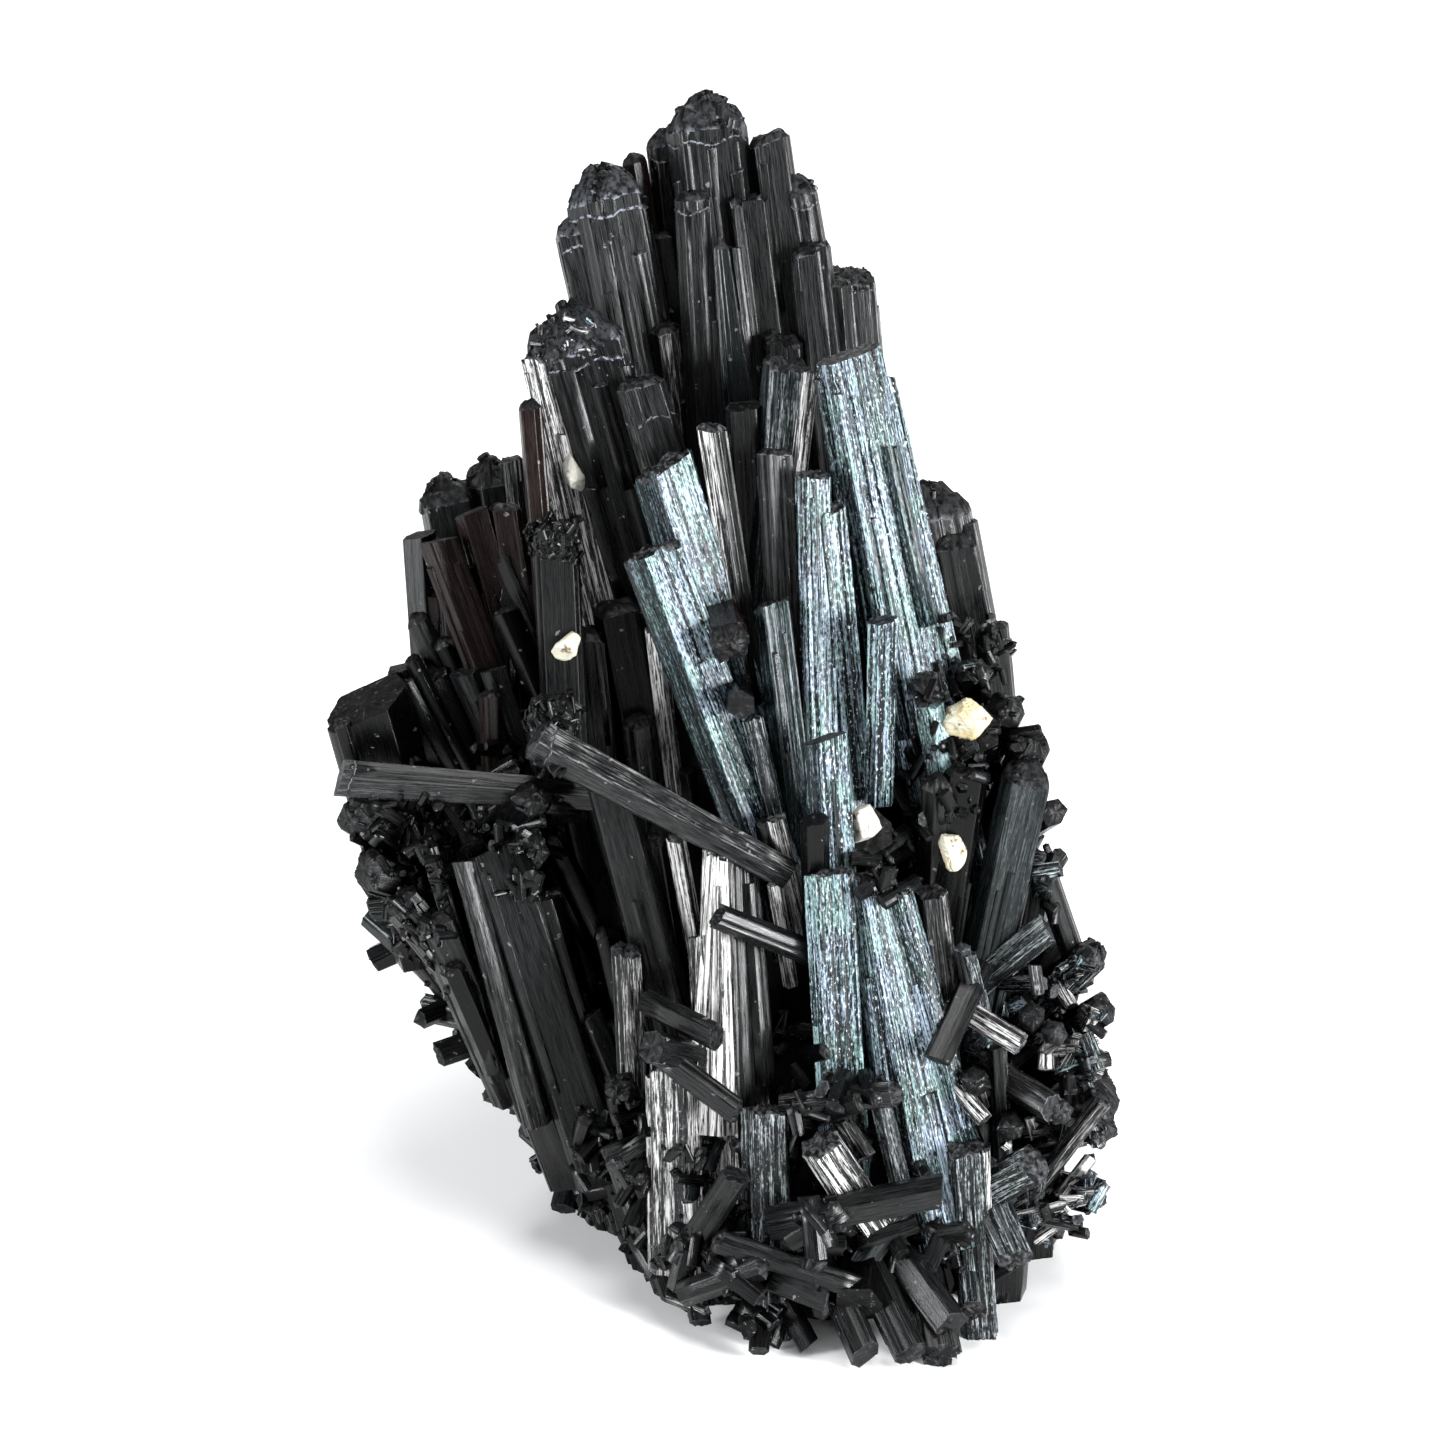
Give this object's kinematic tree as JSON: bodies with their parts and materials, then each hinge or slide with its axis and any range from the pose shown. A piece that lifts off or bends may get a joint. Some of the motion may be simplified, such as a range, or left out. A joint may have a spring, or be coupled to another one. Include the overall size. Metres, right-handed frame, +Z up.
{
  "type": "schorl crystal cluster",
  "caption": "Fan-shaped cluster of black tourmaline prisms that stands on a flat cut base, with a crust of short crystals at its foot and small pale feldspar grains.",
  "frame": {"origin": "on the flat cut base, below the tallest prism", "axes": "+Z up along the height, -Y towards the front where the prisms fan out, +X to the right seen from the front"},
  "size_m": [0.0563, 0.0493, 0.0784],
  "materials": {
    "schorl": "striated black crystal, satin to glassy",
    "feldspar": "pale cream, slightly pearly"
  },
  "bodies": {
    "root": {"schorl_cluster": "schorl", "feldspar_grain_right": "feldspar", "feldspar_grain_centre": "feldspar", "feldspar_grain_small": "feldspar", "feldspar_flake_left": "feldspar", "feldspar_flake_spire": "feldspar"}
  },
  "joints": []
}
